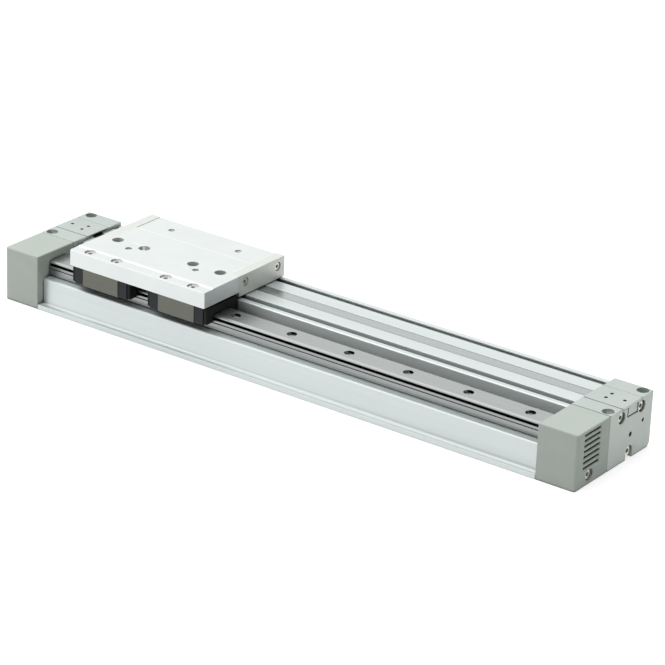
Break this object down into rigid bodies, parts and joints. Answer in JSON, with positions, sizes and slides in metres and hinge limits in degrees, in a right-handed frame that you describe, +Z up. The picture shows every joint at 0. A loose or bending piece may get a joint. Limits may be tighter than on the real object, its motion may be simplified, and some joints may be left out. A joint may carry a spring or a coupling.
{
  "type": "rodless pneumatic cylinder with linear guide",
  "caption": "Belted rodless air cylinder with a slide table on a single linear guide rail, grey end covers and a silver extruded body.",
  "frame": {"origin": "middle of the footprint on the mounting surface", "axes": "+X along the stroke, from the table's rest end to the far end; +Y from the guide rail towards the bore; +Z up, from the mounting face to the table"},
  "size_m": [0.4, 0.0768, 0.0446],
  "materials": {
    "anodized_tube": "clear anodized extrusion, fine lengthwise lines",
    "anodized_table": "milled and clear anodized",
    "anodized_plate": "milled and clear anodized",
    "painted_cover": "painted die casting, satin",
    "moulded_cover": "moulded nylon, fine spark texture",
    "ground_steel": "hardened and ground",
    "band_steel": "cold-rolled stainless strip",
    "screw_steel": "nickel-plated steel",
    "seal_rubber": "nitrile rubber",
    "cap_polymer": "moulded acetal, black",
    "belt_polymer": "polyurethane",
    "piston_polymer": "moulded acetal, natural",
    "brass": "turned"
  },
  "bodies": {
    "base": {"cylinder_tube": "anodized_tube", "head_cover_left": "painted_cover", "head_cover_right": "painted_cover", "rail_cover_left": "moulded_cover", "rail_cover_right": "moulded_cover", "cover_screws": "screw_steel", "rail_cover_screws": "screw_steel", "belt_clamp_left": "painted_cover", "belt_clamp_right": "painted_cover", "clamp_screws": "screw_steel", "dust_band": "band_steel", "seal_belt": "belt_polymer", "tube_gasket_left": "seal_rubber", "tube_gasket_right": "seal_rubber", "cushion_ring_left": "brass", "cushion_ring_right": "brass", "port_plugs": "screw_steel", "guide_rail": "ground_steel", "rail_screws": "screw_steel"},
    "carriage": {"slide_table": "anodized_table", "end_plate_left": "anodized_plate", "end_plate_right": "anodized_plate", "end_plate_screws": "screw_steel", "guide_block_left": "ground_steel", "guide_block_right": "ground_steel", "block_cap_1": "cap_polymer", "block_cap_2": "cap_polymer", "block_cap_3": "cap_polymer", "block_cap_4": "cap_polymer", "block_seal_1": "seal_rubber", "block_seal_2": "seal_rubber", "block_seal_3": "seal_rubber", "block_seal_4": "seal_rubber", "block_screws_near": "screw_steel", "block_screws_far": "screw_steel", "piston_yoke": "anodized_plate", "piston_left": "piston_polymer", "piston_right": "piston_polymer", "piston_seal_left": "seal_rubber", "piston_seal_right": "seal_rubber", "wear_ring_left": "belt_polymer", "wear_ring_right": "belt_polymer", "belt_separator_left": "piston_polymer", "belt_separator_right": "piston_polymer"},
    "needle_left": {"cushion_needle_left": "brass"},
    "needle_right": {"cushion_needle_right": "brass"}
  },
  "joints": [
    {"name": "table_slide", "type": "slide", "parent": "base", "child": "carriage", "axis": [1, 0, 0], "range_m": [0, 0.2], "deforming": ["dust_band", "seal_belt"]},
    {"name": "needle_left_turn", "type": "hinge", "parent": "base", "child": "needle_left", "pos_m": [-0.2, 0.0288, 0.019], "axis": [-1, 0, 0], "range_deg": [0, 720]},
    {"name": "needle_right_turn", "type": "hinge", "parent": "base", "child": "needle_right", "pos_m": [0.2, 0.0288, 0.019], "axis": [1, 0, 0], "range_deg": [0, 720]}
  ]
}
